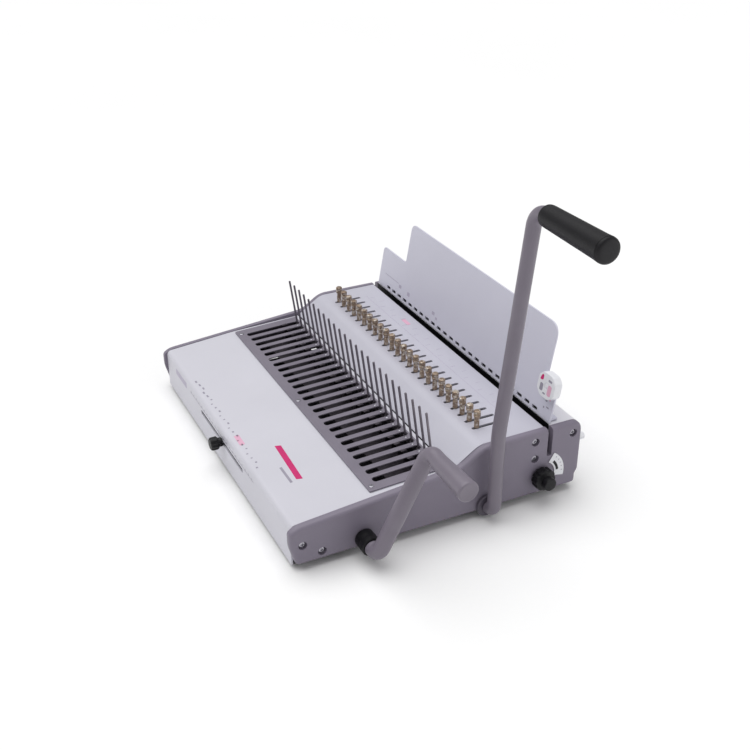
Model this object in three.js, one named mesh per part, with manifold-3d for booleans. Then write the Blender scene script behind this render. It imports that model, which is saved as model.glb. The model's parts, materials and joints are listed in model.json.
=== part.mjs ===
// Manual comb binding machine: a horizontal punch at the back, a comb opener in front,
// and two levers on the right. Millimetres, +X right, +Y back, +Z up, table top at z = 0.
import * as THREE from 'three';
import { mergeVertices } from 'three/addons/utils/BufferGeometryUtils.js';
import Module from 'manifold-3d';

const wasm = await Module();
wasm.setup();

// ---- Driving dimensions -------------------------------------------------------------------

const GAP = 0.3;                    // between neighbouring pieces
const PITCH = 14.2875;              // comb hole pitch, 9/16 inch
const HOLES = 24;
const TEETH = HOLES + 1;

const HALF_WIDTH = 201;             // to the outer face of a side panel
const PANEL = 8;                    // side panel thickness
const SPAN = HALF_WIDTH - PANEL - GAP;   // half length of what sits between the panels
const FRONT = -8;                   // foremost line of the side panels
const BACK = 312.5;
const PANEL_BOTTOM = 8;
const DECK = 82;                    // top edge of the panels at the back
const RIM_FRONT = { y: 0, z: 50 };  // the panel's lower top edge, front end
const RIM_BACK = { y: 173, z: 65.6 };    // and its back end, at the foot of the riser
const RISER_TOP_Y = 197;
const SHEET = 2;                    // cover thickness
const BASE_TOP = 7;

const COVER_Z = 81.4;               // top of the back covers
const COVER_FRONT_Y = -4.5;
const PLATE_FRONT = { y: 80, z: 56.6 };  // where the comb plate lies on the front cover
const PLATE_SLOPE = THREE.MathUtils.degToRad(2.5);
const PLATE_DEPTH = 80;
const PLATE_THICK = 1.5;
const SLOT_WIDTH = 7.8;

const THROAT = { front: 270.8, back: 276.4, floor: 51 };
const PUNCH_Z = 54;                 // height of the row of punched holes
const SELECTOR_Y = 209.3;
const SELECTOR_SLOT = { front: 204, back: 238, width: 4 };
const SELECTOR_BOTTOM = 58.6;
const SELECTOR_TOP = 101.5;

const PUNCH_PIVOT = { y: 202, z: 15 };
const PUNCH_LEG_X = 215.5;
const PUNCH_BAR = 7;                // bar radius
const PUNCH_KINK = { y: 201.8, z: 104 }; // the leg leans back from here up
const PUNCH_TOP = { y: 225.6, z: 325.2 }; // where the leg's line meets the grip's line
const GRIP_END = new THREE.Vector3(322, 222.5, 325.8);
const SECTOR = 17.2;                // pitch radius of the sectors on the punch shaft
const PINION = 8.6;
const IDLER_Z = PUNCH_PIVOT.z + SECTOR + PINION;
const RAM_BOTTOM = IDLER_Z + PINION + GAP;

const BIND_PIVOT = { y: 66.8, z: 19.2 };
const BIND_LEG_X = 231.5;
const BIND_BAR = 8;
const BIND_TOP = { y: 118.4, z: 118.6 };
const BIND_END_X = 302;
const BIND_SECTOR = 20.4;
const RAKE_BOTTOM = BIND_PIVOT.z + BIND_SECTOR + GAP;
const GEAR_X = [-180, 168];         // low end of each toothed piece along X
const GEAR_WIDTH = 10;

const CLAMP = { x: 3, z: 33 };      // comb size clamp in the front groove
const CLAMP_SLOT = { from: -66, to: 66, height: 5.4 };
const MARGIN = { y: 265, z: 29.3 }; // margin knob on the right panel
const DRAWER = { left: -HALF_WIDTH, right: 150, front: 278, back: 305, bottom: 12.4, top: 34 };
const BACKREST_LEAN = THREE.MathUtils.degToRad(10);
const DIAL = { x: 184.5, up: 39.4 }; // on the backrest, up from its foot
const BUMPER = { x: 187.5, z: 54 };
const SHAFT = 5;                    // radius of the two lever shafts

// ---- Materials ----------------------------------------------------------------------------

const finish = (color, roughness, metalness = 0) =>
  new THREE.MeshStandardMaterial({ color, roughness, metalness });

const COVER_PAINT = finish(0xd4d2dc, 0.45);
const PANEL_PAINT = finish(0x7d7682, 0.5);
const LEVER_PAINT = finish(0x7c7480, 0.42);
const STEEL = finish(0x8d8a92, 0.35, 0.9);
const DARK_STEEL = finish(0x4c4955, 0.4, 0.8);
const BRASS = finish(0xa8926a, 0.35, 0.9);
const BLACK = finish(0x17161a, 0.6);
const RUBBER = finish(0x1c1c1e, 0.85);
const WHITE = finish(0xe8e8ea, 0.4);
const GALVANISED = finish(0xa5a7aa, 0.45, 0.8);

// ---- Shape helpers ------------------------------------------------------------------------

// Polygon from [a, b, rounding] corners; rounding is the length trimmed off beside a corner.
function outline(corners, Kind = THREE.Shape) {
  const shape = new Kind();
  const count = corners.length;
  corners.forEach(([a, b, rounding = 0], i) => {
    const here = new THREE.Vector2(a, b);
    const [beforeA, beforeB] = corners[(i + count - 1) % count];
    const [afterA, afterB] = corners[(i + 1) % count];
    const start = new THREE.Vector2(beforeA, beforeB).sub(here).setLength(rounding).add(here);
    const end = new THREE.Vector2(afterA, afterB).sub(here).setLength(rounding).add(here);
    if (i === 0) shape.moveTo(start.x, start.y);
    else shape.lineTo(start.x, start.y);
    if (rounding > 0) shape.quadraticCurveTo(a, b, end.x, end.y);
  });
  shape.closePath();
  return shape;
}

// Line through [a, b, rounding] points, with its inner corners rounded.
function bendLine(points) {
  return points.flatMap(([a, b, rounding = 0], i) => {
    const here = new THREE.Vector2(a, b);
    if (rounding === 0) return [here];
    const start = new THREE.Vector2(...points[i - 1]).sub(here).setLength(rounding).add(here);
    const end = new THREE.Vector2(...points[i + 1]).sub(here).setLength(rounding).add(here);
    return new THREE.QuadraticBezierCurve(start, here, end).getPoints(5);
  });
}

// Section of a bent sheet: the line is its outer skin, the thickness lies to the line's right.
function sheetSection(points, thickness) {
  const outer = bendLine(points);
  const rightOf = (from, to) => {
    const way = to.clone().sub(from).normalize();
    return new THREE.Vector2(way.y, -way.x);
  };
  const inner = outer.map((point, i) => {
    const into = rightOf(outer[Math.max(i - 1, 0)], outer[Math.max(i, 1)]);
    const out = rightOf(outer[Math.min(i, outer.length - 2)], outer[Math.min(i + 1, outer.length - 1)]);
    const mitre = into.clone().add(out).normalize();
    return point.clone().addScaledVector(mitre, thickness / mitre.dot(into));
  });
  return new THREE.Shape([...outer, ...inner.reverse()]);
}

const AXIS_X = new THREE.Vector3(1, 0, 0);
const AXIS_Y = new THREE.Vector3(0, 1, 0);
const AXIS_Z = new THREE.Vector3(0, 0, 1);
const DRAWN_YZ = new THREE.Matrix4().makeBasis(AXIS_Y, AXIS_Z, AXIS_X);
const DRAWN_XZ = new THREE.Matrix4().makeBasis(AXIS_X, AXIS_Z, AXIS_Y.clone().negate());

const FINE = 5;                     // steps round a corner
const COARSE = 2;                   // steps round the small corners of repeated pieces
const prism = (shape, length, curveSegments) =>
  new THREE.ExtrudeGeometry(shape, { depth: length, bevelEnabled: false, curveSegments });
const alongX = (shape, x0, x1, corners = FINE) =>
  prism(shape, x1 - x0, corners).applyMatrix4(DRAWN_YZ).translate(x0, 0, 0);
const alongY = (shape, y0, y1, corners = FINE) =>
  prism(shape, y1 - y0, corners).applyMatrix4(DRAWN_XZ).translate(0, y1, 0);
const alongZ = (shape, z0, z1, corners = FINE) =>
  prism(shape, z1 - z0, corners).translate(0, 0, z0);

const block = (x0, x1, y0, y1, z0, z1) =>
  new THREE.BoxGeometry(x1 - x0, y1 - y0, z1 - z0)
    .translate((x0 + x1) / 2, (y0 + y1) / 2, (z0 + z1) / 2);
const rodX = (radius, x0, x1, { y, z }, sides = 20) =>
  new THREE.CylinderGeometry(radius, radius, x1 - x0, sides)
    .rotateZ(-Math.PI / 2).translate((x0 + x1) / 2, y, z);
const rodY = (radius, y0, y1, { x, z }, sides = 20) =>
  new THREE.CylinderGeometry(radius, radius, y1 - y0, sides).translate(x, (y0 + y1) / 2, z);

function solid(geometry) {
  const bare = geometry.clone();
  bare.deleteAttribute('normal');
  bare.deleteAttribute('uv');
  const merged = mergeVertices(bare, 1e-4);
  const mesh = new wasm.Mesh({
    numProp: 3,
    vertProperties: Float32Array.from(merged.attributes.position.array),
    triVerts: Uint32Array.from(merged.index.array),
  });
  return new wasm.Manifold(mesh);
}

function surface(manifold) {
  const { vertProperties, triVerts } = manifold.getMesh();
  const geometry = new THREE.BufferGeometry();
  geometry.setAttribute('position', new THREE.BufferAttribute(vertProperties, 3));
  geometry.setIndex(new THREE.BufferAttribute(triVerts, 1));
  geometry.computeVertexNormals();
  return geometry;
}

const join = (first, ...others) =>
  surface(others.reduce((sum, other) => sum.add(solid(other)), solid(first)));
const cut = (first, ...tools) =>
  surface(tools.reduce((rest, tool) => rest.subtract(solid(tool)), solid(first)));

// A round bar through corners, each [point, bend radius]; a station at every end and bend step.
class BentRod extends THREE.Curve {
  constructor(corners) {
    super();
    const bendSteps = 6;
    this.stations = corners.flatMap(([corner, radius], i) => {
      if (!radius) return [corner];
      const back = corners[i - 1][0].clone().sub(corner).normalize();
      const on = corners[i + 1][0].clone().sub(corner).normalize();
      const halfAngle = back.angleTo(on) / 2;
      const start = corner.clone().addScaledVector(back, radius / Math.tan(halfAngle));
      const centre = back.clone().add(on).setLength(radius / Math.sin(halfAngle)).add(corner);
      const arm = start.sub(centre);
      const turn = Math.PI - 2 * halfAngle;
      return Array.from({ length: bendSteps + 1 }, (_, step) => {
        const angle = (turn * step) / bendSteps;
        return centre.clone()
          .addScaledVector(arm, Math.cos(angle))
          .addScaledVector(back, -radius * Math.sin(angle));
      });
    });
    this.steps = this.stations.length - 1;
  }

  getPointAt(u) {
    return this.stations[Math.round(u * this.steps)].clone();
  }

  getTangentAt(u) {
    const i = Math.round(u * this.steps);
    const before = this.stations[Math.max(i - 1, 0)];
    const here = this.stations[i];
    const after = this.stations[Math.min(i + 1, this.steps)];
    const into = here.clone().sub(before).normalize();
    const out = after.clone().sub(here).normalize();
    return into.add(out).normalize();
  }
}

function bar(radius, corners) {
  const path = new BentRod(corners);
  const section = new THREE.Shape().absarc(0, 0, radius, 0, 2 * Math.PI);
  return new THREE.ExtrudeGeometry(section, { steps: path.steps, extrudePath: path, curveSegments: 8 });
}

// Toothed disc or sector in the YZ plane: teeth between two angles, a plain hub round the rest.
function toothed(radius, teeth, fromDeg, toDeg, hubRadius) {
  const tip = radius - 0.1;
  const root = radius - 1.7;
  const from = THREE.MathUtils.degToRad(fromDeg);
  const step = THREE.MathUtils.degToRad(toDeg - fromDeg) / teeth;
  const points = [];
  const add = (r, angle) => points.push(new THREE.Vector2(r * Math.cos(angle), r * Math.sin(angle)));
  for (let tooth = 0; tooth < teeth; tooth += 1) {
    const start = from + tooth * step;
    add(root, start);
    add(tip, start + step * 0.25);
    add(tip, start + step * 0.5);
    add(root, start + step * 0.75);
  }
  if (toDeg - fromDeg < 360) {
    const hubSteps = 12;
    const hubFrom = from + teeth * step;
    const hubSpan = 2 * Math.PI - teeth * step;
    for (let i = 0; i <= hubSteps; i += 1) add(hubRadius, hubFrom + (hubSpan * i) / hubSteps);
  }
  return new THREE.Shape(points);
}

const onShaft = (shape, { y, z }) =>
  GEAR_X.map((x) => alongX(shape, x, x + GEAR_WIDTH).translate(0, y, z));

// X of hole i of the comb row, and of tooth or plate slot j, both counted from 0 at the left.
const holeX = (i) => (i - (HOLES - 1) / 2) * PITCH;
const toothX = (j) => (j - (TEETH - 1) / 2) * PITCH;
const countUp = (count, make) => Array.from({ length: count }, (_, i) => make(i));

const machine = new THREE.Group();

function add(name, geometry, material) {
  const mesh = new THREE.Mesh(geometry, material);
  mesh.name = name;
  machine.add(mesh);
  return mesh;
}

// ---- Housing ------------------------------------------------------------------------------

function addSidePanel(name, x0, x1, ...openings) {
  const profile = outline([
    [-2, PANEL_BOTTOM, 2],
    [BACK - 3, PANEL_BOTTOM, 2],
    [BACK - 3, 20.5],
    [BACK, 22.5, 1],
    [BACK, DECK, 12],
    [RISER_TOP_Y, DECK, 8],
    [RIM_BACK.y, RIM_BACK.z, 5],
    [RIM_FRONT.y, RIM_FRONT.z, 5],
    [FRONT, 45, 3],
    [FRONT, 30, 4],
  ]);
  const throat = block(x0 - 1, x1 + 1, THROAT.front, THROAT.back, THROAT.floor, DECK + 1);
  const bearing = SHAFT + GAP;
  add(name, cut(alongX(profile, x0, x1), throat,
    rodX(bearing, x0 - 1, x1 + 1, PUNCH_PIVOT),
    rodX(bearing, x0 - 1, x1 + 1, BIND_PIVOT), ...openings), PANEL_PAINT);
}

function addHousing() {
  const marginHole = rodX(3.5, HALF_WIDTH - PANEL - 1, HALF_WIDTH + 1, MARGIN, 16);
  const drawerMouth = block(-HALF_WIDTH - 1, -HALF_WIDTH + PANEL + 1, DRAWER.front - 0.6, DRAWER.back + 0.6,
    DRAWER.bottom - 0.6, DRAWER.top + 0.6);
  addSidePanel('side_panel_left', -HALF_WIDTH, -HALF_WIDTH + PANEL, drawerMouth);
  addSidePanel('side_panel_right', HALF_WIDTH - PANEL, HALF_WIDTH, marginHole);

  const flangeY = BACK - 3.2;
  const baseFront = COVER_FRONT_Y + SHEET + GAP;
  add('base_plate', alongX(sheetSection(
    [[flangeY, 18], [flangeY, BASE_TOP - SHEET, 2], [baseFront, BASE_TOP - SHEET]], SHEET), -SPAN, SPAN),
  GALVANISED);

  const frontSkin = alongX(sheetSection([
    [COVER_FRONT_Y, BASE_TOP - SHEET],
    [COVER_FRONT_Y, 48.8, 6],
    [PLATE_FRONT.y, PLATE_FRONT.z, 6],
    [165, PLATE_FRONT.z + 85 * Math.tan(PLATE_SLOPE)],
  ], SHEET), -SPAN, SPAN);
  const clampHalf = CLAMP_SLOT.height / 2;
  const clampGroove = alongY(outline([
    [CLAMP_SLOT.from, CLAMP.z - clampHalf, 2],
    [CLAMP_SLOT.to, CLAMP.z - clampHalf, 2],
    [CLAMP_SLOT.to, CLAMP.z + clampHalf, 2],
    [CLAMP_SLOT.from, CLAMP.z + clampHalf, 2],
  ]), COVER_FRONT_Y - 1, COVER_FRONT_Y + SHEET + 1);
  const combWell = block(-181, 181, 86, 158.5, 50, 70);
  add('front_cover', cut(frontSkin, clampGroove, combWell), COVER_PAINT);

  const deckSkin = alongX(sheetSection([
    [166, 61.2],
    [RISER_TOP_Y - 1, COVER_Z, 7],
    [THROAT.front, COVER_Z, 1.5],
    [THROAT.front, 72],
  ], SHEET), -SPAN, SPAN);
  const half = SELECTOR_SLOT.width / 2;
  const slots = countUp(HOLES, (i) => alongZ(outline([
    [holeX(i) - half, SELECTOR_SLOT.front, 1.6],
    [holeX(i) + half, SELECTOR_SLOT.front, 1.6],
    [holeX(i) + half, SELECTOR_SLOT.back, 1.6],
    [holeX(i) - half, SELECTOR_SLOT.back, 1.6],
  ]), COVER_Z - SHEET - 1, COVER_Z + 1, COARSE));
  add('punch_cover', cut(deckSkin, ...slots), COVER_PAINT);

  add('rear_cover', alongX(sheetSection([
    [THROAT.back, 72],
    [THROAT.back, COVER_Z, 1.5],
    [BACK - 0.9, COVER_Z, 9],
    [BACK - 0.9, 19],
  ], SHEET), -SPAN, SPAN), COVER_PAINT);

  [['left', -1], ['right', 1]].forEach(([side, sign]) => {
    [['front', 24], ['rear', 292]].forEach(([end, y]) => {
      const foot = new THREE.CylinderGeometry(9, 8, BASE_TOP - SHEET - GAP, 20).rotateX(Math.PI / 2);
      foot.translate(sign * 168, y, (BASE_TOP - SHEET - GAP) / 2);
      add(`foot_${end}_${side}`, foot, RUBBER);
    });
    add(`rear_bumper_${side}`, rodY(4, BACK - 0.9 + GAP, BACK + 12, { x: sign * BUMPER.x, z: BUMPER.z }, 16),
      WHITE);
  });
}

// ---- Backrest and its gauge ---------------------------------------------------------------

const leanBack = (geometry) =>
  geometry.rotateX(-BACKREST_LEAN).translate(0, THROAT.back + 0.4, DECK + 2 * GAP);

function addBackrest() {
  const thickness = 2;
  const windowUp = 4.4;
  const plate = alongY(outline([
    [-192, 0],
    [192, 0],
    [192, 46, 8],
    [172, 46, 2],
    [172, 98.5, 15],
    [-134, 98.5, 9],
    [-134, 49.5, 4],
    [-192, 49.5, 6],
  ]), 0, thickness);
  const windows = countUp(HOLES, (i) =>
    block(holeX(i) - 4.4, holeX(i) + 4.4, -1, thickness + 1, windowUp - 2, windowUp + 2));
  const standing = leanBack(cut(plate, ...windows));
  const flange = block(-188, 188, THROAT.back + 1.2, THROAT.back + 14, DECK + GAP, DECK + GAP + 1.6);
  add('backrest', join(standing, flange), COVER_PAINT);
  add('window_strip', leanBack(block(-172, 172, thickness + GAP, thickness + 1.5,
    windowUp - 2.1, windowUp + 2.8)), BLACK);

  const dial = outline([
    [-14, -7, 3], [-7, -13, 3], [7, -13, 3], [14, -7, 3], [14, 7, 3], [7, 13, 3], [-7, 13, 3], [-14, 7, 3],
  ]);
  add('gauge_dial', leanBack(alongY(dial, -9 - GAP, -GAP).translate(DIAL.x, 0, DIAL.up)), WHITE);
}

// ---- Comb opener --------------------------------------------------------------------------

function addCombOpener() {
  const margin = 10.5;
  const slots = countUp(TEETH, (j) => outline([
    [toothX(j) - SLOT_WIDTH / 2, margin, 2.5],
    [toothX(j) + SLOT_WIDTH / 2, margin, 2.5],
    [toothX(j) + SLOT_WIDTH / 2, PLATE_DEPTH - 2.2, 2.5],
    [toothX(j) - SLOT_WIDTH / 2, PLATE_DEPTH - 2.2, 2.5],
  ], THREE.Path));
  const plate = outline([[-187, 0, 2], [187, 0, 2], [187, PLATE_DEPTH, 1], [-187, PLATE_DEPTH, 1]]);
  plate.holes.push(...slots);
  add('comb_plate', alongZ(plate, GAP, GAP + PLATE_THICK, COARSE)
    .rotateX(PLATE_SLOPE).translate(0, PLATE_FRONT.y, PLATE_FRONT.z), STEEL);

  const railTop = 6;
  const fingerTop = 67;
  const fingerHalf = 0.9;
  const comb = [[-178, 0], [178, 0], [178, railTop]];
  for (let j = TEETH - 1; j >= 0; j -= 1) {
    const x = toothX(j);
    comb.push([x + fingerHalf, railTop], [x + fingerHalf, fingerTop - 1], [x, fingerTop],
      [x - fingerHalf, fingerTop - 1], [x - fingerHalf, railTop]);
  }
  comb.push([-178, railTop]);
  const fingerLean = THREE.MathUtils.degToRad(8);
  add('finger_comb', alongY(outline(comb), 0, 2.2)
    .rotateX(fingerLean).translate(0, 155.8, 52.2), DARK_STEEL);

  const rake = block(-180, 180, 139, 146, RAKE_BOTTOM, RAKE_BOTTOM + 4.4);
  const hook = outline([
    [139.5, RAKE_BOTTOM + 2], [145, RAKE_BOTTOM + 2], [144, 60, 2], [141, 63, 1], [135.5, 62.2], [139, 59],
  ]);
  const hooks = countUp(TEETH, (j) => alongX(hook, toothX(j) - 1.5, toothX(j) + 1.5, COARSE));
  const racks = GEAR_X.map((x) => block(x, x + GEAR_WIDTH, 58, 142, RAKE_BOTTOM, RAKE_BOTTOM + 4.4));
  const apron = block(-180, 180, 113, 140, RAKE_BOTTOM + 2.4, RAKE_BOTTOM + 4.4);
  add('hook_rake', join(rake, apron, ...racks, ...hooks), DARK_STEEL);

  const sector = toothed(BIND_SECTOR, 11, -8, 98, 9);
  add('binding_shaft', join(rodX(SHAFT, -HALF_WIDTH + 0.5, HALF_WIDTH + 0.1, BIND_PIVOT),
    ...onShaft(sector, BIND_PIVOT)), DARK_STEEL);
  const hubEnd = BIND_LEG_X - 12.5;
  add('binding_hub', rodX(10, HALF_WIDTH + GAP + 0.1, hubEnd, BIND_PIVOT, 24), BLACK);
  const { y, z } = BIND_PIVOT;
  const bentBar = bar(BIND_BAR, [
    [new THREE.Vector3(hubEnd + GAP, y, z), 0],
    [new THREE.Vector3(BIND_LEG_X, y, z), 9],
    [new THREE.Vector3(BIND_LEG_X, BIND_TOP.y, BIND_TOP.z), 10],
    [new THREE.Vector3(BIND_END_X - 1, BIND_TOP.y - 1, BIND_TOP.z - 1), 0],
  ]);
  const sleeveLength = 54;
  const sleeve = new THREE.LatheGeometry([
    [0, 0], [8.4, 0], [10.2, sleeveLength - 1.5], [9.4, sleeveLength], [0, sleeveLength],
  ].map(([radius, along]) => new THREE.Vector2(radius, along)), 20)
    .rotateZ(-Math.PI / 2)
    .translate(BIND_END_X - sleeveLength, BIND_TOP.y - 0.7, BIND_TOP.z - 0.7);
  add('binding_lever', join(bentBar, sleeve), LEVER_PAINT);
}

// ---- Comb size clamp ----------------------------------------------------------------------

function addSizeClamp() {
  const inside = COVER_FRONT_Y + SHEET + GAP;
  const bolt = rodY(2.3, COVER_FRONT_Y - 7, inside + 4, CLAMP, 16);
  const wedge = alongZ(outline([
    [CLAMP.x - 22, inside], [CLAMP.x + 22, inside], [CLAMP.x + 22, inside + 5, 1],
    [CLAMP.x + 6, inside + 14, 1], [CLAMP.x - 22, inside + 14, 1],
  ]), CLAMP.z - 7, CLAMP.z + 7);
  add('size_wedge', join(wedge, bolt), GALVANISED);
  const boss = rodY(5, COVER_FRONT_Y - 5, COVER_FRONT_Y - GAP, CLAMP, 18);
  const head = rodY(7.2, COVER_FRONT_Y - 13.5, COVER_FRONT_Y - 4.8, CLAMP, 18);
  const bore = rodY(2.6, COVER_FRONT_Y - 7.3, COVER_FRONT_Y, CLAMP, 16);
  add('size_knob', cut(join(boss, head), bore), BLACK);
}

// ---- Punch --------------------------------------------------------------------------------

function addPunch() {
  const pinHalf = { x: 4, z: 1.5 };
  const clear = 0.3;
  const pinHoles = (y0, y1) => countUp(HOLES, (i) => block(
    holeX(i) - pinHalf.x - clear, holeX(i) + pinHalf.x + clear, y0, y1,
    PUNCH_Z - pinHalf.z - clear, PUNCH_Z + pinHalf.z + clear));
  const blockTop = 71.6;
  add('guide_block', cut(block(-SPAN, SPAN, 259, THROAT.front, 42, blockTop), ...pinHoles(258, 272)), STEEL);
  add('die_block', cut(block(-SPAN, SPAN, THROAT.back, 287, 42, blockTop), ...pinHoles(276, 288)), STEEL);

  const ramTop = 66;
  const beam = block(-181, 181, 203, 217, RAM_BOTTOM, ramTop);
  const racks = GEAR_X.map((x) => block(x, x + GEAR_WIDTH, 170, 210, RAM_BOTTOM, RAM_BOTTOM + 6));
  const pins = countUp(HOLES, (i) => block(holeX(i) - pinHalf.x, holeX(i) + pinHalf.x,
    210, THROAT.front - 6, PUNCH_Z - pinHalf.z, PUNCH_Z + pinHalf.z));
  const pockets = countUp(HOLES, (i) => block(holeX(i) - 2.4, holeX(i) + 2.4,
    SELECTOR_Y - 2.4, SELECTOR_Y + 2.4, SELECTOR_BOTTOM - GAP, ramTop + 1));
  add('punch_ram', cut(join(beam, ...racks, ...pins), ...pockets), STEEL);

  countUp(HOLES, (i) => {
    const stem = 1.7;
    const body = 2.7;
    const head = 3.7;
    const bodyFrom = COVER_Z + 0.6;
    const headFrom = SELECTOR_TOP - 8;
    const profile = [
      [0, SELECTOR_BOTTOM], [stem, SELECTOR_BOTTOM], [stem, bodyFrom], [body, bodyFrom],
      [body, headFrom], [head, headFrom + 0.8], [head, SELECTOR_TOP - 0.8],
      [head - 0.8, SELECTOR_TOP], [0, SELECTOR_TOP],
    ].map(([radius, height]) => new THREE.Vector2(radius, height));
    const pin = new THREE.LatheGeometry(profile, 8).rotateX(Math.PI / 2).translate(holeX(i), SELECTOR_Y, 0);
    add(`selector_${String(i + 1).padStart(2, '0')}`, pin, BRASS);
  });

  const idler = { y: PUNCH_PIVOT.y, z: IDLER_Z };
  add('idler_shaft', join(rodX(3, -SPAN, SPAN, idler, 16), ...onShaft(toothed(PINION, 14, 0, 360), idler)),
    STEEL);
  const shaftEnd = PUNCH_LEG_X - 9.7;
  add('punch_shaft', join(rodX(SHAFT, -HALF_WIDTH + 0.5, shaftEnd, PUNCH_PIVOT),
    ...onShaft(toothed(SECTOR, 9, -8, 88, 7.4), PUNCH_PIVOT)), DARK_STEEL);
  add('punch_bushing', cut(rodX(12, HALF_WIDTH + GAP, shaftEnd - 0.6, PUNCH_PIVOT, 24),
    rodX(SHAFT + GAP, HALF_WIDTH, shaftEnd, PUNCH_PIVOT)), LEVER_PAINT);

  const { y, z } = PUNCH_PIVOT;
  const bend = new THREE.Vector3(PUNCH_LEG_X, PUNCH_TOP.y, PUNCH_TOP.z);
  const gripWay = GRIP_END.clone().sub(bend).normalize();
  const gripStart = 16;
  add('punch_lever', bar(PUNCH_BAR, [
    [new THREE.Vector3(shaftEnd + GAP, y, z), 0],
    [new THREE.Vector3(PUNCH_LEG_X, y, z), 9],
    [new THREE.Vector3(PUNCH_LEG_X, PUNCH_KINK.y, PUNCH_KINK.z), 150],
    [bend, 15],
    [bend.clone().addScaledVector(gripWay, gripStart), 0],
  ]), LEVER_PAINT);

  const gripLength = GRIP_END.distanceTo(bend) - gripStart - GAP;
  const gripProfile = [
    [0, 0], [9.4, 0], [10.4, 2], [11.6, gripLength - 12], [12, gripLength - 5], [11, gripLength - 1.6],
    [8.5, gripLength], [0, gripLength],
  ].map(([radius, height]) => new THREE.Vector2(radius, height));
  const grip = new THREE.LatheGeometry(gripProfile, 20)
    .applyQuaternion(new THREE.Quaternion().setFromUnitVectors(AXIS_Y, gripWay));
  const gripFrom = bend.clone().addScaledVector(gripWay, gripStart + GAP);
  add('punch_grip', grip.translate(gripFrom.x, gripFrom.y, gripFrom.z), BLACK);
}

// ---- Margin setting and chip drawer -------------------------------------------------------

function addMarginSetting() {
  const stopBottom = MARGIN.z + 5.2;
  const barTop = THROAT.floor - 0.8; // stays under the punch pins when it is raised
  add('margin_stop', block(-184, 184, THROAT.front + 0.4, THROAT.back - 0.4, stopBottom, barTop), GALVANISED);
  const camX = 172;
  const offset = new THREE.Vector2(1.5, 0).rotateAround(new THREE.Vector2(), THREE.MathUtils.degToRad(-50));
  const cam = rodX(8, camX - 3, camX + 3, { y: MARGIN.y + offset.x, z: MARGIN.z + offset.y }, 18);
  add('margin_cam', join(rodX(3, 160, HALF_WIDTH + 2, MARGIN, 16), cam), STEEL);
  const knobFrom = HALF_WIDTH + 1.4;
  const base = rodX(12, knobFrom, knobFrom + 9, MARGIN, 18);
  const tipPart = rodX(7, knobFrom + 8, knobFrom + 18, MARGIN, 18);
  const bore = rodX(3.3, knobFrom - 1, HALF_WIDTH + 2.4, MARGIN, 16);
  add('margin_knob', cut(join(base, tipPart), bore), BLACK);

  const inner = 16.5;
  const outer = 28;
  const from = THREE.MathUtils.degToRad(-12);
  const to = THREE.MathUtils.degToRad(58);
  const scale = new THREE.Shape();
  scale.absarc(0, 0, outer, from, to, false);
  scale.absarc(0, 0, inner, to, from, true);
  scale.closePath();
  add('margin_scale', alongX(scale, HALF_WIDTH + GAP, HALF_WIDTH + GAP + 0.6)
    .translate(0, MARGIN.y, MARGIN.z), WHITE);
}

function addChipDrawer() {
  const { left, right, front, back, bottom, top } = DRAWER;
  const wall = 1.6;
  const tray = block(left, right, front, back, bottom, top);
  const hollow = block(left + 4, right - wall, front + wall, back - wall, bottom + wall, top + 1);
  add('chip_drawer', cut(tray, hollow), PANEL_PAINT);
}

addHousing();
addBackrest();
addCombOpener();
addSizeClamp();
addPunch();
addMarginSetting();
addChipDrawer();

// The origin is the middle of the machine's footprint on the table.
const extent = new THREE.Box3().setFromObject(machine);
const centre = extent.getCenter(new THREE.Vector3());
machine.position.set(-centre.x, -centre.y, -extent.min.z);

export default machine;
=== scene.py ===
import json
import math
import random

import bmesh
import bpy
from mathutils import Matrix, Vector


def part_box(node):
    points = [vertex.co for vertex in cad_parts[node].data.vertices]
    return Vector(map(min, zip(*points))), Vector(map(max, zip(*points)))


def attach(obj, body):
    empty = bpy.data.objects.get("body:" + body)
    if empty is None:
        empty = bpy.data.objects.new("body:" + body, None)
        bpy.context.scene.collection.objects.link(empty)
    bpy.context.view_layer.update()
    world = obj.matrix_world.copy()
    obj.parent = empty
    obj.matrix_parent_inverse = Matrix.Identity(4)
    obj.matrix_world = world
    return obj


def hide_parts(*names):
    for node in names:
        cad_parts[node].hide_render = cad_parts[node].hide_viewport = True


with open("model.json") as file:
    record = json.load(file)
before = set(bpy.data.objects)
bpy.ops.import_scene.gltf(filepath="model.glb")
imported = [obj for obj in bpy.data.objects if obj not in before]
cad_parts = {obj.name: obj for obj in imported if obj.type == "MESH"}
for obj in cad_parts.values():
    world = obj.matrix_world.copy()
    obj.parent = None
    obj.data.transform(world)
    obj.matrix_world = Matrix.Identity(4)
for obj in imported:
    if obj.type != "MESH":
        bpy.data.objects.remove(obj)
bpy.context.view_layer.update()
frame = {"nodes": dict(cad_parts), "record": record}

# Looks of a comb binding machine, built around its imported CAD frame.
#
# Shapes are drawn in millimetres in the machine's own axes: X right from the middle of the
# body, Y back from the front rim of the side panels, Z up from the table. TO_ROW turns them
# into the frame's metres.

# ---- Driving dimensions ------------------------------------------------------------------

# Pairs are (Y, Z) where nothing else is said.

MM = 0.001
GAP = 0.3                           # clearance between neighbouring pieces
HALF_WIDTH = 201                    # outer face of a side panel
PANEL = 8                           # thickness of a side panel
PANEL_FRONT = -8
PANEL_BOTTOM = 8
BACK = 312.5
DECK = 82                           # top of the side panels over the punch
RIM_FRONT = (0, 50)
RIM_BACK = (173, 65.6)
RISER_TOP_Y = 197
SPAN = HALF_WIDTH - PANEL - GAP     # half length of what lies between the panels

PITCH = 14.2875
HOLES = 24
TEETH = HOLES + 1

SHEET = 2                           # cover sheet
COVER_BOTTOM = 5
COVER_Z = 81.4
COVER_FRONT_Y = -4.5
HOOD_EDGE_Z = 48.8
HOOD_BACK_Y = 165
COVER_FOOT_Z = 72                   # where the covers end inside the throat

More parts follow.
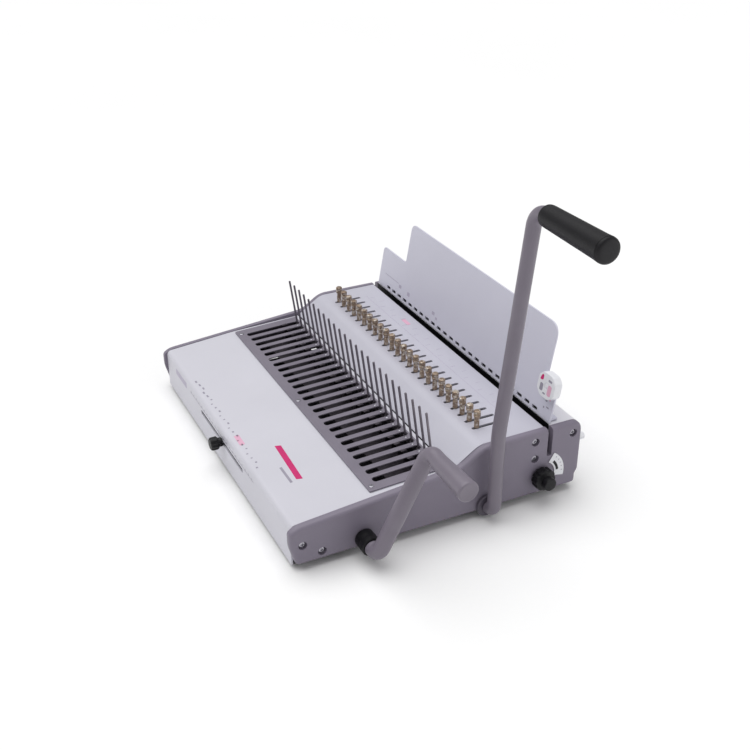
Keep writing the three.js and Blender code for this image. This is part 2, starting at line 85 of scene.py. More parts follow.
PLATE_FRONT = (80, 56.6)
PLATE_SLOPE = math.radians(2.5)
PLATE_DEPTH = 80
PLATE_THICK = 1.5
PLATE_HALF = 187
SLOT_WIDTH = 7.8
SLOT_FRONT = 10.5
SLOT_BACK = PLATE_DEPTH - 2.2

THROAT_FRONT = 270.8
THROAT_BACK = 276.4
THROAT_FLOOR = 51
SELECTOR_Y = 209.3
SELECTOR_BOTTOM = 58.6
SELECTOR_TOP = 101.5
SELECTOR_SLOT = (204, 238)          # from and to, in Y

SHAFT = 5                           # radius of both lever shafts
PUNCH_PIVOT = (202, 15)
PUNCH_LEG_X = 215.5
PUNCH_BAR = 7                       # radius of the punch lever's bar
PUNCH_KINK = (201.8, 104)
PUNCH_TOP = (225.6, 325.2)
PUNCH_SHAFT_END = PUNCH_LEG_X - 9.7
GRIP_START = 16                     # from the lever's bend, along the grip
GRIP_END = Vector((322, 222.5, 325.8))
BIND_PIVOT = (66.8, 19.2)
BIND_LEG_X = 231.5
BIND_BAR = 8                        # radius of the binding lever's bar
BIND_TOP = (118.4, 118.6)
BIND_END_X = 302
BIND_HUB_END = BIND_LEG_X - 12.5
SLEEVE = 54                         # length of the handle on the binding lever

CLAMP = (3, 33)                     # (X, Z) of the comb size clamp
CLAMP_SLOT = (-66, 66)              # from and to, in X
CLAMP_HEIGHT = 5.4
MARGIN = (265, 29.3)
BACKREST_LEAN = math.radians(10)

panel_low, panel_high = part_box("side_panel_right")
TO_ROW = Matrix.Scale(MM, 4) @ Matrix.Translation(
    (panel_high.x / MM - HALF_WIDTH, panel_low.y / MM - PANEL_FRONT, 0)
)

# ---- Local axes --------------------------------------------------------------------------
# A slab is drawn in local (u, v) and rises along w.


def axes(u, v, w, at=(0, 0, 0)):
    basis = Matrix((u, v, w)).transposed().to_4x4()
    return Matrix.Translation(at) @ basis


X, Y, Z = Vector((1, 0, 0)), Vector((0, 1, 0)), Vector((0, 0, 1))


def along_x(x0):
    """Drawn in (Y, Z), rising towards +X from x0."""
    return axes(Y, Z, X, (x0, 0, 0))


def facing_front(y1):
    """Drawn in (X, Z), rising towards the front from y1."""
    return axes(X, Z, -Y, (0, y1, 0))


def along_z(z0):
    """Drawn in (X, Y), rising from z0."""
    return axes(X, Y, Z, (0, 0, z0))


# ---- Outlines ----------------------------------------------------------------------------

SAME_POINT = 1e-4
SHARPEST_MITRE = 0.35


def distinct(points, closed):
    """Leaves out each point that repeats the one before it."""
    kept = []
    for point in points:
        if not kept or (point - kept[-1]).length > SAME_POINT:
            kept.append(point)
    if closed and (kept[0] - kept[-1]).length <= SAME_POINT:
        kept.pop()
    return kept


def outline(corners, steps=7, closed=True):
    """Line through (a, b, cut) corners; cut is how much the rounding takes off each side."""
    count = len(corners)
    points = []
    for i, corner in enumerate(corners):
        here = Vector(corner[:2])
        cut = corner[2] if len(corner) > 2 else 0
        if not cut:
            points.append(here)
            continue
        before = Vector(corners[i - 1][:2]) - here
        after = Vector(corners[(i + 1) % count][:2]) - here
        start = here + before.normalized() * cut
        end = here + after.normalized() * cut
        for step in range(steps + 1):
            t = step / steps
            points.append(start * (1 - t) ** 2 + here * 2 * t * (1 - t) + end * t * t)
    return distinct(points, closed)


def sheet_section(corners, thick):
    """Closed section of a bent sheet: the line is its outer skin, the metal on its right."""
    outer = outline(corners, 8, closed=False)
    inner = []
    for i, point in enumerate(outer):
        into = (outer[max(i, 1)] - outer[max(i, 1) - 1]).normalized()
        last = min(i + 1, len(outer) - 1)
        on = (outer[last] - outer[last - 1]).normalized()
        normal_in = Vector((into.y, -into.x))
        mitre = (normal_in + Vector((on.y, -on.x))).normalized()
        inner.append(point + mitre * thick / mitre.dot(normal_in))
    return outer + inner[::-1]


def disc(centre, radius, steps=24):
    """Round outline, anticlockwise."""
    return [
        Vector((centre[0] + radius * math.cos(2 * math.pi * i / steps),
                centre[1] + radius * math.sin(2 * math.pi * i / steps)))
        for i in range(steps)
    ]


def pill(u0, u1, v0, v1, cut, steps=5):
    """Rectangle between two corners, all four of its corners rounded."""
    return outline([(u0, v0, cut), (u1, v0, cut), (u1, v1, cut), (u0, v1, cut)], steps)


def rect(u, v, width, height, corner=0.2):
    """Small rectangle about a centre; the rounding never takes up a whole side."""
    return pill(u - width / 2, u + width / 2, v - height / 2, v + height / 2,
                min(corner, width / 2.2, height / 2.2), 2)


def arc_band(centre, inner, outer, from_deg, to_deg, steps=24):
    """Piece of a ring between two radii and two angles."""
    angles = [
        math.radians(from_deg + (to_deg - from_deg) * i / steps) for i in range(steps + 1)
    ]
    ring = [(outer, a) for a in angles] + [(inner, a) for a in reversed(angles)]
    return [
        Vector((centre[0] + r * math.cos(a), centre[1] + r * math.sin(a))) for r, a in ring
    ]


def signed_area(points):
    return sum(a.cross(b) for a, b in zip(points, points[1:] + points[:1])) / 2


def turned(points, anticlockwise):
    return points if (signed_area(points) > 0) == anticlockwise else points[::-1]


def material_side(points):
    """For each point, the mitred step of one millimetre into the material on its left."""
    steps = []
    for i, here in enumerate(points):
        into = (here - points[i - 1]).normalized()
        on = (points[(i + 1) % len(points)] - here).normalized()
        left = Vector((-into.y, into.x))
        mitre = (left + Vector((-on.y, on.x))).normalized()
        steps.append(mitre / max(mitre.dot(left), SHARPEST_MITRE))
    return steps


# ---- Solids ------------------------------------------------------------------------------


def merge(bm, part, matrix):
    """Adds a closed part to bm, its faces turned outwards."""
    part.transform(matrix)
    bmesh.ops.recalc_face_normals(part, faces=part.faces)
    mesh = bpy.data.meshes.new("part")
    part.to_mesh(mesh)
    part.free()
    bm.from_mesh(mesh)
    bpy.data.meshes.remove(mesh)


def skin(part, loops):
    """Joins each loop of corners to the next by a band of faces; a single corner is a tip."""
    for low, high in zip(loops, loops[1:]):
        count = max(len(low), len(high))
        for i in range(count):
            j = (i + 1) % count
            ring = (low[i % len(low)], low[j % len(low)], high[j % len(high)], high[i % len(high)])
            corners = list(dict.fromkeys(ring))
            if len(corners) > 2:
                part.faces.new(corners)


def add_loops(part, points, profile, closed_end=False):
    """Skins a closed outline through (inset, height) stations; returns first and last loop."""
    inward = material_side(points)
    loops = [
        [part.verts.new((*(p + d * inset), height)) for p, d in zip(points, inward)]
        for inset, height in profile
    ]
    skin(part, loops)
    if closed_end:
        part.faces.new(loops[-1])
    return loops[0], loops[-1]


def loop_edges(part, loop):
    return [part.edges.get((a, b)) for a, b in zip(loop, loop[1:] + loop[:1])]


def rounding(edge, top, sign, steps):
    """Quarter round of an edge: stations from the flat face at height top down the wall."""
    if not edge:
        return [(0, top)]
    return [
        (edge * (1 - math.sin(a)), top - sign * edge * (1 - math.cos(a)))
        for a in (math.pi / 2 * i / steps for i in range(steps + 1))
    ]


def slab(bm, matrix, outer, thick, edge=0.3, back_edge=None, holes=(), pockets=(), steps=3):
    """Plate with rounded edges. holes are (points, edge); pockets are (points, edge, depth)."""
    part = bmesh.new()
    back_edge = edge if back_edge is None else back_edge
    tops, bottoms = [], []
    for points, hole_edge, outside in [(outer, edge, True)] + [(p, e, False) for p, e in holes]:
        low_edge = back_edge if outside else hole_edge
        profile = rounding(hole_edge, thick, 1, steps)
        profile += rounding(low_edge, 0, -1, steps)[::-1]
        top, bottom = add_loops(part, turned(points, outside), profile)
        tops += loop_edges(part, top)
        bottoms += loop_edges(part, bottom)
    for points, pocket_edge, depth in pockets:
        profile = rounding(pocket_edge, thick, 1, steps) + [(0, thick - depth)]
        top, _ = add_loops(part, turned(points, False), profile, closed_end=True)
        tops += loop_edges(part, top)
    bmesh.ops.triangle_fill(part, use_beauty=True, edges=tops, normal=(0, 0, 1))
    bmesh.ops.triangle_fill(part, use_beauty=True, edges=bottoms, normal=(0, 0, -1))
    merge(bm, part, matrix)


def lathe(bm, matrix, profile, sides=32, flutes=0, fluted=(), depth=0.0):
    """Turned solid from (radius, height); the stations listed in fluted are scalloped.

    A profile that ends on its first station is a ring with an open bore."""
    part = bmesh.new()
    rings = []
    for k, (radius, height) in enumerate(profile):
        if k and (radius, height) == profile[0]:
            rings.append(rings[0])
            continue
        if not radius:
            rings.append([part.verts.new((0, 0, height))])
            continue
        ring = []
        for i in range(sides):
            angle = 2 * math.pi * i / sides
            reach = radius
            if k in fluted:
                reach -= depth * (0.5 - 0.5 * math.cos(flutes * angle)) ** 2
            ring.append(part.verts.new((reach * math.cos(angle), reach * math.sin(angle), height)))
        rings.append(ring)
    skin(part, rings)
    for ring in (rings[0], rings[-1]):
        if len(ring) > 1 and rings[0] is not rings[-1]:
            part.faces.new(ring)
    merge(bm, part, matrix)


BAR_SIDES = 32
BEND_STEPS = 12


def tube(bm, corners, radius, start_cap, end_cap):
    """Round bar through (point, bend radius) corners; caps are (inset, reach) stations."""
    stations = []
    for i, (corner, bend) in enumerate(corners):
        if not bend:
            stations.append(corner)
            continue
        back = (corners[i - 1][0] - corner).normalized()
        on = (corners[i + 1][0] - corner).normalized()
        half = back.angle(on) / 2
        start = corner + back * bend / math.tan(half)
        centre = corner + (back + on).normalized() * bend / math.sin(half)
        arm = start - centre
        turn = math.pi - 2 * half
        for step in range(BEND_STEPS + 1):
            angle = turn * step / BEND_STEPS
            stations.append(centre + arm * math.cos(angle) - back * bend * math.sin(angle))
    part = bmesh.new()
    first = (stations[1] - stations[0]).normalized()
    side = first.orthogonal().normalized()
    rings = []

    def ring(at, way, reach):
        up = way.cross(side)
        return [
            part.verts.new(at + (side * math.cos(a) + up * math.sin(a)) * reach)
            for a in (2 * math.pi * i / BAR_SIDES for i in range(BAR_SIDES))
        ]

    for inset, reach in start_cap:
        rings.append(ring(stations[0] + first * reach, first, radius - inset))
    for i in range(1, len(stations) - 1):
        into = (stations[i] - stations[i - 1]).normalized()
        on = (stations[i + 1] - stations[i]).normalized()
        way = (into + on).normalized()
        side = (side - way * side.dot(way)).normalized()
        rings.append(ring(stations[i], way, radius))
    last = (stations[-1] - stations[-2]).normalized()
    side = (side - last * side.dot(last)).normalized()
    for inset, reach in end_cap:
        rings.append(ring(stations[-1] - last * reach, last, radius - inset))
    skin(part, rings)
    part.faces.new(rings[0])
    part.faces.new(rings[-1])
    merge(bm, part, Matrix())


def round_cap(radius):
    """(inset, reach) stations of a rounded bar end, its rim eased by radius."""
    steps = 4
    return [
        (radius * (1 - math.sin(a)), radius * (1 - math.cos(a)))
        for a in (math.pi / 2 * i / steps for i in range(steps + 1))
    ]


# ---- Pieces ------------------------------------------------------------------------------

SHARP_EDGE = math.radians(38)       # stays sharp in the shading
EASED_EDGE = math.radians(35)       # gets a small bevel on a softened CAD node
FLAT_EDGE = math.radians(0.5)       # lies inside a flat face


def evaluated(obj):
    """Replaces an object's mesh by the result of its modifiers."""
    bpy.context.view_layer.update()
    result = bpy.data.meshes.new_from_object(
        obj.evaluated_get(bpy.context.evaluated_depsgraph_get())
    )
    obj.modifiers.clear()
    old, obj.data = obj.data, result
    bpy.data.meshes.remove(old)


def shaded(obj):
    """Smooth shading that keeps the edges sharper than SHARP_EDGE."""
    obj.data.polygons.foreach_set("use_smooth", [True] * len(obj.data.polygons))
    obj.data.set_sharp_from_angle(angle=SHARP_EDGE)
    weighted = obj.modifiers.new("weighted", "WEIGHTED_NORMAL")
    weighted.keep_sharp = True
    weighted.weight = 90
    evaluated(obj)


def new_object(name, bm, matrix=TO_ROW):
    bm.transform(matrix)
    mesh = bpy.data.meshes.new(name)
    bm.to_mesh(mesh)
    bm.free()
    obj = bpy.data.objects.new(name, mesh)
    bpy.context.scene.collection.objects.link(obj)
    return obj


def piece(name, bm, look, body="root", replaces=(), cutters=()):
    """Finished piece of the machine: shaded, painted, riding on a body."""
    obj = new_object(name, bm)
    for cutter_bm in cutters:
        cutter = new_object(name + "_cutter", cutter_bm)
        modifier = obj.modifiers.new("cut", "BOOLEAN")
        modifier.operation = "DIFFERENCE"
        modifier.solver = "EXACT"
        modifier.object = cutter
        evaluated(obj)
        bpy.data.objects.remove(cutter)
    shaded(obj)
    material, slot = look
    obj.data.materials.clear()
    obj.data.materials.append(material)
    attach(obj, body)
    if replaces:
        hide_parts(*replaces)


NODE_BODY = {
    node: body
    for body, nodes in frame["record"]["behaviour"]["bodies"].items()
    for node in nodes
}


def softened(node, look, edge):
    """Copy of a CAD node with its sharp edges eased by edge millimetres."""
    bm = bmesh.new()
    bm.from_mesh(frame["nodes"][node].data)
    bmesh.ops.remove_doubles(bm, verts=bm.verts, dist=1e-6)
    bmesh.ops.dissolve_limit(bm, angle_limit=FLAT_EDGE, verts=bm.verts, edges=bm.edges)
    sharp = [e for e in bm.edges if e.is_manifold and e.calc_face_angle() > EASED_EDGE]
    bmesh.ops.bevel(
        bm, geom=sharp, offset=edge * MM, segments=2, profile=0.5,
        affect="EDGES", clamp_overlap=True,
    )
    bm.transform(TO_ROW.inverted())
    piece(node + "_finished", bm, look, NODE_BODY[node], (node,))


# ---- Materials ---------------------------------------------------------------------------


def linear(*srgb):
    """Linear light from 0 to 255 display values."""
    values = [c / 255 for c in srgb]
    return tuple(c / 12.92 if c <= 0.04045 else ((c + 0.055) / 1.055) ** 2.4 for c in values)


def new_material(name):
    material = bpy.data.materials.new(name)
    material.use_nodes = True
    nodes = material.node_tree.nodes
    links = material.node_tree.links
    return material, nodes, links, nodes["Principled BSDF"]


def noise(nodes, links, coords, scale, stretch=(1, 1, 1), detail=3.0):
    mapping = nodes.new("ShaderNodeMapping")
    mapping.inputs["Scale"].default_value = stretch
    links.new(coords, mapping.inputs["Vector"])
    texture = nodes.new("ShaderNodeTexNoise")
    texture.inputs["Scale"].default_value = scale
    texture.inputs["Detail"].default_value = detail
    texture.inputs["Roughness"].default_value = 0.55
    links.new(mapping.outputs["Vector"], texture.inputs["Vector"])
    return texture.outputs["Fac"]


def ranged(nodes, links, value, low, high, from_low=0.3, from_high=0.7):
    """Spreads a noise value, which mostly lies between from_low and from_high, to low..high."""
    spread = nodes.new("ShaderNodeMapRange")
    spread.inputs["From Min"].default_value = from_low
    spread.inputs["From Max"].default_value = from_high
    spread.inputs["To Min"].default_value = low
    spread.inputs["To Max"].default_value = high
    links.new(value, spread.inputs["Value"])
    return spread.outputs["Result"]


ROUGH_SPREAD = 0.06                 # how far the roughness wanders each way


def surface(
    name, colour, tone, rough, metallic=0.0, patch=14.0, grain=900.0, stretch=(1, 1, 1),
    bump=0.08, depth=0.0001, specular=0.5, specks_and_glints=None,
):
    """Procedural finish: drifting colour, fine grain bump and uneven gloss in object space."""
    material, nodes, links, shader = new_material(name)
    coords = nodes.new("ShaderNodeTexCoord").outputs["Object"]
    drift = noise(nodes, links, coords, patch)
    fine = noise(nodes, links, coords, grain, stretch, detail=4.0)
    mix = nodes.new("ShaderNodeMix")
    mix.data_type = "RGBA"
    mix.inputs["A"].default_value = (*linear(*colour), 1)
    mix.inputs["B"].default_value = (*linear(*tone), 1)
    blend = nodes.new("ShaderNodeMath")
    blend.operation = "ADD"
    blend.use_clamp = True
    links.new(ranged(nodes, links, drift, 0.0, 0.65), blend.inputs[0])
    links.new(ranged(nodes, links, fine, 0.0, 0.35), blend.inputs[1])
    links.new(blend.outputs["Value"], mix.inputs["Factor"])
    base = mix.outputs["Result"]
    # Light specks: real specks on the foam and zinc, painted glints on the brass.
    if specks_and_glints:
        speck_colour, speck_scale, low, high = specks_and_glints
        dots = noise(nodes, links, coords, speck_scale, detail=1.0)
        over = nodes.new("ShaderNodeMix")
        over.data_type = "RGBA"
        over.inputs["B"].default_value = (*linear(*speck_colour), 1)
        links.new(base, over.inputs["A"])
        links.new(ranged(nodes, links, dots, 0.0, 1.0, low, high), over.inputs["Factor"])
        base = over.outputs["Result"]
    links.new(base, shader.inputs["Base Color"])
    links.new(
        ranged(nodes, links, fine, rough - ROUGH_SPREAD, rough + ROUGH_SPREAD),
        shader.inputs["Roughness"],
    )
    relief = nodes.new("ShaderNodeBump")
    relief.inputs["Strength"].default_value = bump
    relief.inputs["Distance"].default_value = depth
    links.new(fine, relief.inputs["Height"])
    links.new(relief.outputs["Normal"], shader.inputs["Normal"])
    shader.inputs["Metallic"].default_value = metallic
    shader.inputs["Specular IOR Level"].default_value = specular
    return material


COVER = (surface("cover_powder_coat", (207, 206, 215), (199, 198, 207), 0.42, patch=9,
                 grain=1400, bump=0.10), "cover_paint")
# The deck is the cover paint made a little darker: painted shade on the deck.
DECK_SHADED_COVER = (surface("deck_shaded_powder_coat", (194, 193, 204), (185, 184, 196), 0.42, patch=9,
                      grain=1400, bump=0.10), "cover_paint")
# The backrest is the cover paint made lighter: painted light on its front face.
BACKREST_LIT_COVER = (surface("backrest_lit_powder_coat", (213, 212, 226), (205, 204, 218), 0.42, patch=9,
                      grain=1400, bump=0.10), "cover_paint")
# The rear hood is the cover paint made much lighter: painted light on its top.
REAR_LIT_COVER = (surface("rear_lit_powder_coat", (232, 231, 236), (222, 221, 228), 0.40, patch=9,
                      grain=1400, bump=0.10), "cover_paint")
PANEL_COAT = (surface("panel_powder_coat", (130, 123, 138), (120, 113, 128), 0.5, patch=16,
                      grain=1700, bump=0.22), "panel_paint")
LEVER_COAT = (surface("lever_powder_coat", (125, 118, 130), (113, 106, 118), 0.36, patch=20,
                      grain=1500, bump=0.15), "lever_paint")
# The punch collar is the lever paint made darker: painted shade.
SHADED_COAT = (surface("bushing_shaded_powder_coat", (92, 86, 98), (80, 74, 86), 0.42, patch=20,
                       grain=1500, bump=0.15), "lever_paint")
PLATE_COAT = (surface("comb_plate_coat", (136, 130, 143), (123, 117, 130), 0.36, metallic=0.3,
                      patch=22, grain=700, stretch=(0.15, 1, 1), bump=0.12), "steel")
STEEL = (surface("ground_steel", (176, 174, 180), (142, 139, 147), 0.34, metallic=0.9,
                 patch=30, grain=600, stretch=(0.08, 1, 1), bump=0.12), "steel")
FINGER_STEEL = (surface("blued_finger_steel", (132, 126, 134), (98, 93, 101), 0.34, metallic=0.6,
                        patch=60, grain=900, stretch=(1, 1, 0.12), bump=0.1), "dark_steel")
DARK_STEEL = (surface("dark_oiled_steel", (92, 86, 94), (60, 55, 62), 0.38, metallic=0.8,
                      patch=45, grain=800, bump=0.15), "dark_steel")
# The light beige specks on the brass are painted glints.
BRASS = (surface("turned_brass", (184, 165, 144), (112, 90, 77), 0.32, metallic=0.55,
                 patch=190, grain=420, stretch=(0.2, 0.2, 3), bump=0.15,
                 specks_and_glints=((202, 193, 182), 260, 0.52, 0.62)), "brass")
BLACK = (surface("black_moulding", (11, 11, 14), (17, 16, 20), 0.45, patch=40, grain=1300,
                 bump=0.25, specular=0.3), "black_plastic")
FOAM = (surface("black_foam_grip", (9, 8, 12), (16, 14, 20), 0.5, patch=60, grain=1000,
                bump=0.5, depth=0.0002, specular=0.32, specks_and_glints=((40, 38, 47), 1600, 0.62, 0.78)),
        "black_plastic")
# Near-black steel for the blocks seen down the narrow throat: painted shade.
THROAT_SHADE_STEEL = (surface("throat_shade_block", (24, 22, 27), (36, 33, 40), 0.6, metallic=0.2, patch=40,
                     grain=800, bump=0.15, specular=0.2), "steel")
RUBBER = (surface("rubber_foot", (26, 26, 28), (38, 38, 40), 0.8, patch=60, grain=900,
                  bump=0.3), "rubber")
WHITE = (surface("white_moulding", (236, 236, 240), (224, 225, 231), 0.35, patch=40,
                 grain=1100, bump=0.08), "white_plastic")
ZINC = (surface("zinc_plate", (172, 174, 178), (146, 148, 154), 0.42, metallic=0.8, patch=90,
                grain=500, bump=0.1, specks_and_glints=((196, 198, 202), 150, 0.5, 0.62)), "galvanised")
DULL_ZINC = (surface("dull_zinc_plate", (78, 74, 82), (58, 55, 62), 0.55, metallic=0.6, patch=70,
                     grain=500, bump=0.1, specks_and_glints=((98, 95, 102), 150, 0.55, 0.68)), "galvanised")
BRIGHT = (surface("bright_screw", (190, 188, 196), (140, 138, 146), 0.26, metallic=0.9,
                  patch=200, grain=900, bump=0.08), "steel")


def ink(name, colour, tone):
    return (surface(name, colour, tone, 0.5, patch=120, grain=1500, bump=0.05), "cover_paint")


GREY_INK = ink("grey_print", (158, 154, 168), (142, 138, 153))
LILAC_INK = ink("lilac_print", (184, 178, 196), (176, 170, 189))
PINK_INK = ink("pink_print", (226, 178, 200), (216, 162, 188))
MAGENTA_INK = ink("magenta_print", (204, 10, 108), (190, 6, 98))

# ---- Camera, light and floor -------------------------------------------------------------

VIEW_AZIMUTH = math.radians(63.77)
VIEW_ELEVATION = math.radians(28.97)
VIEW_AIM = Vector((-0.05536, 0.0217, 0.0707))
VIEW_DISTANCE = 1.1964
LENS = 52.0
SENSOR = 36
CLIP_END = 50
WORLD_STRENGTH = 0.4
SKY_ENERGY = 2.2
SKY_WIDTH = math.radians(70)
SKY_FROM = Vector((-0.22, -0.16, 0.96))
REAR_ENERGY = 1.7
REAR_SIZE = 0.7
REAR_AT = Vector((0.95, 0.75, 0.42))
REAR_AIM = Vector((0.14, 0.10, 0.07))
FLOOR_HALF = 8

scene = bpy.context.scene
camera = bpy.data.objects.new("camera", bpy.data.cameras.new("camera"))
camera.data.lens = LENS
camera.data.sensor_width = SENSOR
camera.data.clip_end = CLIP_END
camera.rotation_euler = (math.pi / 2 - VIEW_ELEVATION, 0, VIEW_AZIMUTH)
camera.location = VIEW_AIM + VIEW_DISTANCE * Vector(
    (math.sin(VIEW_AZIMUTH) * math.cos(VIEW_ELEVATION),
     -math.cos(VIEW_AZIMUTH) * math.cos(VIEW_ELEVATION),
     math.sin(VIEW_ELEVATION))
)
scene.collection.objects.link(camera)
scene.camera = camera

world = bpy.data.worlds.new("studio")
world.use_nodes = True
world.node_tree.nodes["Background"].inputs["Color"].default_value = (1, 1, 1, 1)
world.node_tree.nodes["Background"].inputs["Strength"].default_value = WORLD_STRENGTH
scene.world = world
scene.view_settings.view_transform = "Standard"

# One very wide, soft light from above, a little to the left and the front.
sky_panel = bpy.data.lights.new("sky_panel", "SUN")
sky_panel.energy = SKY_ENERGY
sky_panel.angle = SKY_WIDTH
sky_light = bpy.data.objects.new("sky_panel", sky_panel)
sky_light.rotation_euler = SKY_FROM.to_track_quat("Z", "Y").to_euler()
scene.collection.objects.link(sky_light)

# A soft panel behind on the right lifts the rear of that side and the lever's edge.
rear_panel = bpy.data.lights.new("rear_panel", "AREA")
rear_panel.energy = REAR_ENERGY
rear_panel.size = REAR_SIZE
rear_light = bpy.data.objects.new("rear_panel", rear_panel)
rear_light.location = REAR_AT
rear_light.rotation_euler = (REAR_AT - REAR_AIM).to_track_quat("Z", "Y").to_euler()
scene.collection.objects.link(rear_light)

floor_bm = bmesh.new()
bmesh.ops.create_grid(floor_bm, x_segments=24, y_segments=24, size=FLOOR_HALF)
floor = new_object("floor", floor_bm, Matrix())
FLOOR_LOOK = surface("pale_floor", (250, 250, 250), (247, 247, 247), 0.9, patch=1.5, grain=200,
                     bump=0.01, specular=0.1)
floor.data.materials.append(FLOOR_LOOK)

# ---- Screws ------------------------------------------------------------------------------


def screw(bm, matrix, radius, height):
    """Pan head screw standing on the local w = 0 plane, with a cross recess."""
    rim_height = height * 0.35
    profile = [(radius, 0), (radius, rim_height)]
    profile += [
        (radius * math.cos(a), rim_height + height * 0.65 * math.sin(a))
        for a in (math.pi / 2 * i / 5 for i in range(1, 4))
    ]
    top_radius, flat = profile[-1]
    half = radius * 0.16
    reach = radius * 0.45
    cross = []
    for quarter in range(4):
        turn = Matrix.Rotation(quarter * math.pi / 2, 2)
        cross += [turn @ Vector((reach, -half)), turn @ Vector((reach, half)),
                  turn @ Vector((half, half))]
    rim = disc((0, 0), top_radius)
    part = bmesh.new()
    rings = [[part.verts.new((*(p * r / top_radius), h)) for p in rim] for r, h in profile]
    skin(part, rings)
    part.faces.new(rings[0])
    well_top, _ = add_loops(
        part, turned(cross, False), [(0, flat), (-0.12 * radius, flat - height * 0.6)],
        closed_end=True,
    )
    bmesh.ops.triangle_fill(
        part, use_beauty=True, normal=(0, 0, 1),
        edges=loop_edges(part, rings[-1]) + loop_edges(part, well_top),
    )
    merge(bm, part, matrix)


# ---- Side panels -------------------------------------------------------------------------

PANEL_SCREWS = [(4.6, 29.6), (24, 17.0), (256.4, 71.2), (257.2, 51.2), (301.6, 70.2)]
PANEL_HEAD = (3.6, 1.7)             # radius and height of a panel screw's head
SCREW_RECESS = (4.4, 3.4)           # radius and depth
PANEL_PIN_HOLE = (177.6, 54.4)
RIM_ROUND = 4
CUTTER_REACH = 5                    # how far a cutter stands out on each face of a panel
PANEL_SIDE = outline([
    (-2, PANEL_BOTTOM, 4.6),
    (BACK - 3, PANEL_BOTTOM, 5),
    (BACK - 3, 19, 2),
    (BACK, 24, 2.5),
    (BACK, DECK, 12),
    (RISER_TOP_Y, DECK, 9),
    (*RIM_BACK, 7),
    (*RIM_FRONT, 5),
    (PANEL_FRONT, 45, 3),
    (PANEL_FRONT, 30, 5),
])


def side_panel(side, sign, hole):
    """Panel with its rounded rim outwards; sign is the sign of X, hole is one it has alone."""

    def flip(points):
        return [Vector((p.x * sign, p.y)) for p in points]

    if sign > 0:
        low_x = HALF_WIDTH - PANEL
        matrix = along_x(low_x)
    else:
        low_x = -HALF_WIDTH
        matrix = axes(-Y, Z, -X, (-HALF_WIDTH + PANEL, 0, 0))
    pockets = [(disc(at, SCREW_RECESS[0], 28), 0.3, SCREW_RECESS[1]) for at in PANEL_SCREWS]
    pockets.append((disc(PANEL_PIN_HOLE, 1.8, 20), 0.2, 2.5))
    bm = bmesh.new()
    slab(
        bm, matrix, flip(PANEL_SIDE), PANEL, edge=RIM_ROUND, back_edge=0.8, steps=6,
        holes=[(flip(hole), 0.1)], pockets=[(flip(p), e, d) for p, e, d in pockets],
    )
    throat = outline([
        (THROAT_FRONT, THROAT_FLOOR), (THROAT_BACK, THROAT_FLOOR),
        (THROAT_BACK, DECK + 6), (THROAT_FRONT, DECK + 6),
    ])
    cutters = []
    for opening in [throat] + [disc(at, SHAFT + GAP, 32) for at in (PUNCH_PIVOT, BIND_PIVOT)]:
        cutters.append(bmesh.new())
        slab(cutters[-1], along_x(low_x - CUTTER_REACH), opening, PANEL + 2 * CUTTER_REACH, edge=0)
    piece(f"{side}_panel_shell", bm, PANEL_COAT, replaces=(f"side_panel_{side}",),
          cutters=cutters)
    heads = bmesh.new()
    for y, z in PANEL_SCREWS:
        seat = matrix @ Matrix.Translation((y * sign, z, PANEL - SCREW_RECESS[1]))
        screw(heads, seat, *PANEL_HEAD)
    piece(f"{side}_panel_screws", heads, BRIGHT)


DRAWER_MOUTH = outline([(277.4, 12.15, 1), (305.6, 12.15, 1), (305.6, 34.6, 1), (277.4, 34.6, 1)])
side_panel("right", 1, disc(MARGIN, 3.5, 24))
side_panel("left", -1, DRAWER_MOUTH)

# ---- Covers ------------------------------------------------------------------------------


def hole_x(i):
    """Middle of the i-th of the 24 punched holes."""
    return (i - (HOLES - 1) / 2) * PITCH


def tooth_x(j):
    """Middle of the j-th of the 25 fingers and plate slots, each between two holes."""
    return (j - (TEETH - 1) / 2) * PITCH


def bent_cover(name, line, look, node, cutters=()):
    """Cover folded from sheet along a (Y, Z) line, from one side panel to the other."""
    bm = bmesh.new()
    slab(bm, along_x(-SPAN), sheet_section(line, SHEET), 2 * SPAN, edge=0.35)
    piece(name, bm, look, replaces=(node,), cutters=cutters)


CUT_OVER = 1                        # how far a cutter stands out of a cover
groove = bmesh.new()
half = CLAMP_HEIGHT / 2
slab(groove, facing_front(COVER_FRONT_Y + SHEET + CUT_OVER),
     pill(*CLAMP_SLOT, CLAMP[1] - half, CLAMP[1] + half, 2.4), SHEET + 3 * CUT_OVER, edge=0)
# The hood is open under the slots of the comb plate.
WELL_BOTTOM = 50
WELL_HEIGHT = 20
well = bmesh.new()
slab(well, along_z(WELL_BOTTOM), pill(-181, 181, 86, 158.5, 1), WELL_HEIGHT, edge=0)
bent_cover("front_hood", [
    (COVER_FRONT_Y, COVER_BOTTOM),
    (COVER_FRONT_Y, HOOD_EDGE_Z, 6),
    (*PLATE_FRONT, 6),
    (HOOD_BACK_Y, PLATE_FRONT[1] + (HOOD_BACK_Y - PLATE_FRONT[0]) * math.tan(PLATE_SLOPE)),
], COVER, "front_cover", [groove, well])

slots = bmesh.new()
for i in range(HOLES):
    slab(slots, along_z(COVER_Z - SHEET - CUT_OVER),
         pill(hole_x(i) - 2, hole_x(i) + 2, *SELECTOR_SLOT, 1.9), SHEET + 2 * CUT_OVER, edge=0)
bent_cover("punch_deck", [
    (HOOD_BACK_Y + 1, 61.2),
    (RISER_TOP_Y - 1, COVER_Z, 7),
    (THROAT_FRONT, COVER_Z, 1.5),
    (THROAT_FRONT, COVER_FOOT_Z),
], DECK_SHADED_COVER, "punch_cover", [slots])

